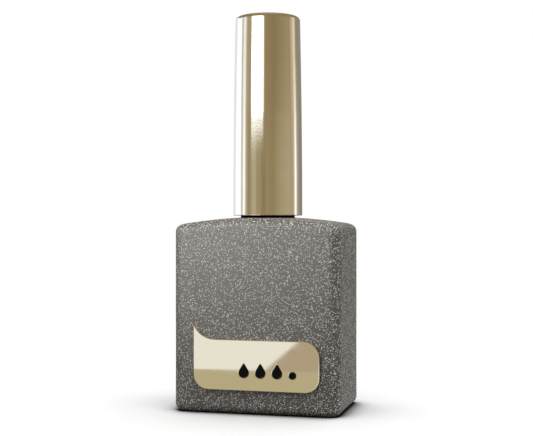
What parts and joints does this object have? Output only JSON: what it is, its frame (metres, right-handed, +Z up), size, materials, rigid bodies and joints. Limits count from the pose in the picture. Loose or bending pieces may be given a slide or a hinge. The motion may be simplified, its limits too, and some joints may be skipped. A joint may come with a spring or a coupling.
{
  "type": "nail polish bottle",
  "caption": "Upright rectangular nail polish bottle with a domed shoulder, a glitter coat, a metal front plaque and a tall tapered metal cap that unscrews and lifts out with its brush.",
  "frame": {"origin": "centre of the flat base, on the surface the bottle stands on", "axes": "+Z up through the neck and the cap; the decorated front with the plaque faces -Y; +X is to the right when facing the front"},
  "size_m": [0.0384, 0.0243, 0.0901],
  "materials": {
    "black_glass": "opaque black moulded glass",
    "glitter_lacquer": "sprayed warm grey lacquer with fine silver glitter, satin",
    "label_film": "blank matt label film",
    "pale_gold_metal": "mirror-polished pale gold plate",
    "adhesive_film": "clear-white bonding film",
    "black_enamel": "glossy black enamel",
    "gasket_foam": "white soft sealing liner",
    "white_plastic": "natural white moulded plastic",
    "anchor_steel": "plain stamped steel",
    "bristle_nylon": "fine black nylon filaments",
    "black_plastic": "black moulded plastic",
    "gold_metal": "polished pale gold anodised shell",
    "ball_steel": "polished steel"
  },
  "bodies": {
    "bottle": {"glass_bottle": "black_glass", "lacquer_coat": "glitter_lacquer", "base_label": "label_film", "front_plaque": "pale_gold_metal", "plaque_adhesive": "adhesive_film", "plaque_inlays": "black_enamel"},
    "gasket": {"sealing_gasket": "gasket_foam"},
    "brush": {"brush_stem": "white_plastic", "tuft_anchor": "anchor_steel"},
    "bristles": {"bristle_tuft": "bristle_nylon"},
    "cap": {"inner_cap": "black_plastic", "overcap": "gold_metal"},
    "ball_1": {"mixing_ball_1": "ball_steel"},
    "ball_2": {"mixing_ball_2": "ball_steel"}
  },
  "joints": [
    {"name": "lift_out", "type": "slide", "parent": "bottle", "child": "gasket", "axis": [0, 0, 1], "range_m": [0, 0.06]},
    {"name": "cap_rise", "type": "slide", "parent": "gasket", "child": "brush", "axis": [0, 0, 1], "range_m": [0, 0.00372]},
    {"name": "cap_turn", "type": "hinge", "parent": "brush", "child": "cap", "pos_m": [0, 0, 0.05], "axis": [0, 0, 1], "range_deg": [0, 630]},
    {"name": "bristle_bend", "type": "hinge", "parent": "brush", "child": "bristles", "pos_m": [0, 0, 0.021], "axis": [1, 0, 0], "range_deg": [-25, 25]},
    {"name": "ball_1_roll", "type": "slide", "parent": "bottle", "child": "ball_1", "axis": [1, 0, 0], "range_m": [-0.0055, 0.0195]},
    {"name": "ball_2_roll", "type": "slide", "parent": "bottle", "child": "ball_2", "axis": [1, 0, 0], "range_m": [-0.0185, 0.0065]}
  ],
  "couplings": [
    {"joint": "cap_rise", "follows": "cap_turn", "m_per_rad": 0.00033693}
  ]
}
